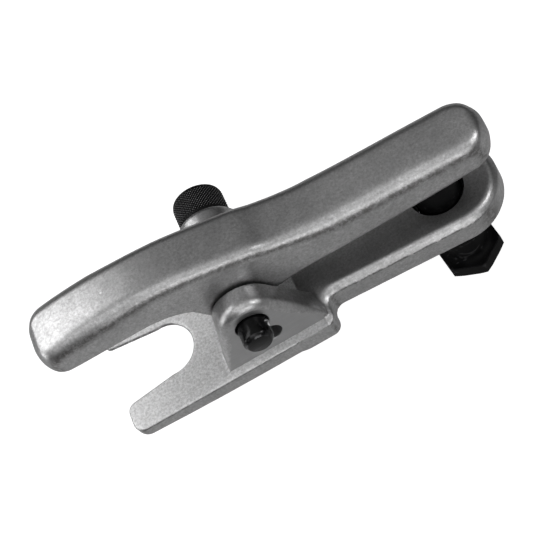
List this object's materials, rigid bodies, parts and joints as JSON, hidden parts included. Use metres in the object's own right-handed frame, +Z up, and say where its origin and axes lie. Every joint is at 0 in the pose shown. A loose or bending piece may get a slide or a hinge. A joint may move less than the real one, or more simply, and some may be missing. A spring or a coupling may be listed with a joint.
{
  "type": "ball joint separator",
  "caption": "Screw and lever ball joint separator: forked forged arm, curved lever on a removable pin with a knurled knob, hexagon pressure screw at the rear.",
  "frame": {"origin": "middle of the bounding box at its lowest point, the pressure screw's hexagon end face", "axes": "+X along the tool from the fork towards the pressure screw, +Y along the pivot pin towards the knob, +Z up, from the fork plate towards the lever"},
  "size_m": [0.1678, 0.0658, 0.0955],
  "materials": {
    "forged_steel": "blasted forging with a satin plating",
    "black_oxide": "black oxide, satin",
    "black_knurl": "black oxide over a diamond knurl",
    "bright_ball": "polished bearing steel",
    "spring_wire": "drawn spring wire"
  },
  "bodies": {
    "arm": {"lower_arm": "forged_steel"},
    "lever": {"upper_lever": "forged_steel"},
    "thrust": {"thrust_cap": "black_oxide", "cap_clip": "spring_wire"},
    "screw": {"pressure_screw": "black_oxide"},
    "pin": {"pivot_pin": "black_oxide", "knob": "black_knurl", "detent_spring": "spring_wire"},
    "ball": {"detent_ball": "bright_ball"}
  },
  "joints": [
    {"name": "screw_feed", "type": "slide", "parent": "arm", "child": "thrust", "axis": [0, 0, 1], "range_m": [0, 0.0253]},
    {"name": "screw_turn", "type": "hinge", "parent": "thrust", "child": "screw", "pos_m": [0.0581, -0.00385, 0], "axis": [0, 0, 1], "range_deg": [0, 6080]},
    {"name": "lever_pivot", "type": "hinge", "parent": "arm", "child": "lever", "pos_m": [-0.0174, -0.00385, 0.0637], "axis": [0, -1, 0], "range_deg": [0, 20.1]},
    {"name": "pin_pull", "type": "slide", "parent": "arm", "child": "pin", "axis": [0, 1, 0], "range_m": [0, 0.054]},
    {"name": "ball_press", "type": "slide", "parent": "pin", "child": "ball", "axis": [-1, 0, 0], "range_m": [0, 0.0004], "stiffness_N_per_m": 2000}
  ],
  "couplings": [
    {"joint": "screw_turn", "follows": "screw_feed", "rad_per_m": 4188.8},
    {"joint": "lever_pivot", "follows": "screw_feed", "rad_per_m": 13.793}
  ]
}
